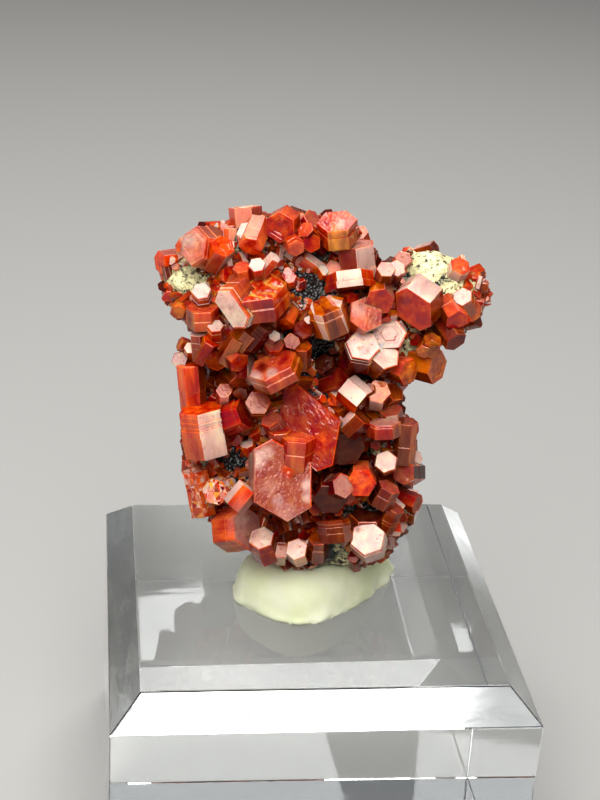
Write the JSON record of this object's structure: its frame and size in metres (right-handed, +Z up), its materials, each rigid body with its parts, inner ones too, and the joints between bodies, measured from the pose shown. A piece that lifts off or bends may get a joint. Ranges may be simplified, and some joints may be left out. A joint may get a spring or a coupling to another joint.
{
  "type": "vanadinite crystal specimen on acrylic block",
  "caption": "Hexagonal red-orange vanadinite crystals grown over a rock matrix, stuck with putty on a clear square block with bevelled top edges, for display.",
  "frame": {"origin": "middle of the acrylic block's underside", "axes": "+Z up through the block and the specimen, +X to the right along the block's front edge, -Y towards a person who looks at the show face"},
  "size_m": [0.0382, 0.0382, 0.0638],
  "materials": {
    "clear_acrylic": "clear, polished",
    "pale_putty": "smooth matte putty",
    "cream_and_black_rock": "rough cream rock with black crust",
    "red_orange_crystal": "resinous, slightly translucent",
    "amber_crystal": "resinous, translucent",
    "mauve_crystal": "resinous, finely striated",
    "dark_crystal": "resinous, dark"
  },
  "bodies": {
    "root": {"acrylic_block": "clear_acrylic", "mounting_putty": "pale_putty", "matrix_rock": "cream_and_black_rock", "far_left_prism": "red_orange_crystal", "left_crown_prisms": "red_orange_crystal", "crown_peach_prisms": "red_orange_crystal", "crown_hexagon": "red_orange_crystal", "crown_right_prisms": "red_orange_crystal", "shoulder_prisms": "red_orange_crystal", "lobe_top_prism": "red_orange_crystal", "lobe_big_prism": "red_orange_crystal", "lobe_tip_prisms": "red_orange_crystal", "fractured_crystal": "red_orange_crystal", "left_striated_prism": "red_orange_crystal", "left_lower_prism": "red_orange_crystal", "left_edge_prisms": "red_orange_crystal", "lower_left_tablet": "red_orange_crystal", "upper_big_hexagon": "red_orange_crystal", "between_hexagons_prisms": "red_orange_crystal", "right_orange_prisms": "red_orange_crystal", "right_flat_tablet": "red_orange_crystal", "back_big_hexagon": "red_orange_crystal", "back_upper_prisms": "red_orange_crystal", "back_crown_prism": "red_orange_crystal", "back_left_prisms": "red_orange_crystal", "left_side_hexagon": "red_orange_crystal", "left_side_upper_prism": "red_orange_crystal", "lobe_back_prism": "red_orange_crystal", "amber_glass_prism": "amber_crystal", "amber_brown_prisms": "amber_crystal", "lobe_under_prisms": "amber_crystal", "left_white_and_orange": "amber_crystal", "pitted_tablet": "amber_crystal", "striated_brown_block": "amber_crystal", "back_right_prism": "amber_crystal", "right_side_prism": "amber_crystal", "mauve_block": "mauve_crystal", "white_hexagons": "mauve_crystal", "lower_big_hexagon": "mauve_crystal", "glittering_prism": "mauve_crystal", "middle_pale_prism": "mauve_crystal", "white_square_prism": "mauve_crystal", "right_white_pentagon": "mauve_crystal", "right_grey_prisms": "mauve_crystal", "lower_right_tablet": "mauve_crystal", "bottom_small_prisms": "mauve_crystal", "mauve_and_orange_pair": "mauve_crystal", "back_right_tablet": "mauve_crystal", "left_side_low_prism": "mauve_crystal", "middle_brown_prisms": "dark_crystal", "pocket_dark_prisms": "dark_crystal", "left_small_prisms": "dark_crystal", "right_dark_cube": "dark_crystal", "lower_right_prism": "dark_crystal", "lower_right_spur": "dark_crystal", "back_low_prisms": "dark_crystal", "back_low_right_prism": "dark_crystal", "right_low_prism": "dark_crystal"}
  },
  "joints": []
}
